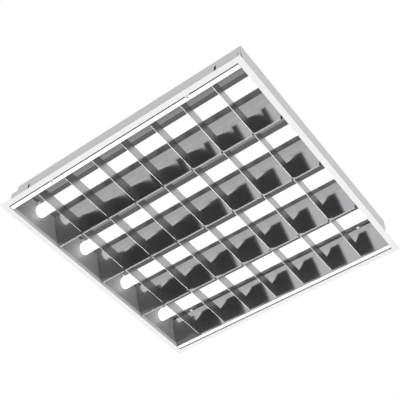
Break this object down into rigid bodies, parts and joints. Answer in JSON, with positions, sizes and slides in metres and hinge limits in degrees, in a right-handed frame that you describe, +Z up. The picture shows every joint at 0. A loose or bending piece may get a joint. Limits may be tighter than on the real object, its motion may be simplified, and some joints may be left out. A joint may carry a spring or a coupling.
{
  "type": "recessed troffer light",
  "caption": "Square recessed ceiling light: straight tubes above a hinged mirror louvre of V reflectors and cross blades, in a shallow sheet-steel housing with a thin flange.",
  "frame": {"origin": "middle of the flange's underside, level with the ceiling line", "axes": "+X along the tubes, +Y from the latch side to the hinge side, +Z up into the ceiling void"},
  "size_m": [0.6005, 0.595, 0.077],
  "materials": {
    "white_steel": "satin white paint",
    "mirror_aluminium": "bright anodised",
    "satin_aluminium": "satin",
    "lamp_glass": "opal coating inside",
    "cap_plastic": "smooth, white",
    "white_plastic": "matte",
    "latch_plastic": "smooth",
    "ballast_case": "painted",
    "black_rubber": "matte",
    "zinc_steel": "zinc plated"
  },
  "bodies": {
    "housing": {"ballast_1": "ballast_case", "ballast_2": "ballast_case", "ballast_screws": "zinc_steel", "cable_grommet": "black_rubber", "earth_terminal": "zinc_steel", "end_plate_left": "white_steel", "end_plate_right": "white_steel", "end_reflector_left": "satin_aluminium", "end_reflector_right": "satin_aluminium", "flange_far": "white_steel", "flange_left": "white_steel", "flange_near": "white_steel", "flange_right": "white_steel", "hinge_bracket_left": "zinc_steel", "hinge_bracket_right": "zinc_steel", "hinge_pins": "zinc_steel", "lampholders_1": "white_plastic", "lampholders_2": "white_plastic", "lampholders_3": "white_plastic", "lampholders_4": "white_plastic", "reflector_rivets": "zinc_steel", "roof_panel": "white_steel", "side_wall_far": "white_steel", "side_wall_near": "white_steel", "terminal_block": "white_plastic", "top_reflector_1": "satin_aluminium", "top_reflector_2": "satin_aluminium", "top_reflector_3": "satin_aluminium", "top_reflector_4": "satin_aluminium"},
    "louvre": {"cross_blade_1": "mirror_aluminium", "cross_blade_2": "mirror_aluminium", "cross_blade_3": "mirror_aluminium", "cross_blade_4": "mirror_aluminium", "cross_blade_5": "mirror_aluminium", "cross_blade_6": "mirror_aluminium", "cross_blade_7": "mirror_aluminium", "hinge_leaf_left": "zinc_steel", "hinge_leaf_right": "zinc_steel", "latch_guide_left": "zinc_steel", "latch_guide_right": "zinc_steel", "side_reflector_far": "mirror_aluminium", "side_reflector_near": "mirror_aluminium", "v_reflector_1": "mirror_aluminium", "v_reflector_2": "mirror_aluminium", "v_reflector_3": "mirror_aluminium"},
    "left_latch": {"latch_left": "latch_plastic"},
    "right_latch": {"latch_right": "latch_plastic"},
    "lamp_1": {"lamp_tube_1": "lamp_glass", "lamp_caps_1": "cap_plastic", "lamp_rotors_1": "white_plastic"},
    "lamp_2": {"lamp_tube_2": "lamp_glass", "lamp_caps_2": "cap_plastic", "lamp_rotors_2": "white_plastic"},
    "lamp_3": {"lamp_tube_3": "lamp_glass", "lamp_caps_3": "cap_plastic", "lamp_rotors_3": "white_plastic"},
    "lamp_4": {"lamp_tube_4": "lamp_glass", "lamp_caps_4": "cap_plastic", "lamp_rotors_4": "white_plastic"}
  },
  "joints": [
    {"name": "louvre_swing", "type": "hinge", "parent": "housing", "child": "louvre", "pos_m": [0, 0.281, 0.005], "axis": [1, 0, 0], "range_deg": [0, 90]},
    {"name": "left_latch_slide", "type": "slide", "parent": "louvre", "child": "left_latch", "axis": [0, 1, 0], "range_m": [0, 0.0032]},
    {"name": "right_latch_slide", "type": "slide", "parent": "louvre", "child": "right_latch", "axis": [0, 1, 0], "range_m": [0, 0.0032]},
    {"name": "lamp_1_turn", "type": "hinge", "parent": "housing", "child": "lamp_1", "pos_m": [0, -0.20745, 0.052], "axis": [1, 0, 0], "range_deg": [0, 90]},
    {"name": "lamp_2_turn", "type": "hinge", "parent": "housing", "child": "lamp_2", "pos_m": [0, -0.06915, 0.052], "axis": [1, 0, 0], "range_deg": [0, 90]},
    {"name": "lamp_3_turn", "type": "hinge", "parent": "housing", "child": "lamp_3", "pos_m": [0, 0.06915, 0.052], "axis": [1, 0, 0], "range_deg": [0, 90]},
    {"name": "lamp_4_turn", "type": "hinge", "parent": "housing", "child": "lamp_4", "pos_m": [0, 0.20745, 0.052], "axis": [1, 0, 0], "range_deg": [0, 90]}
  ]
}
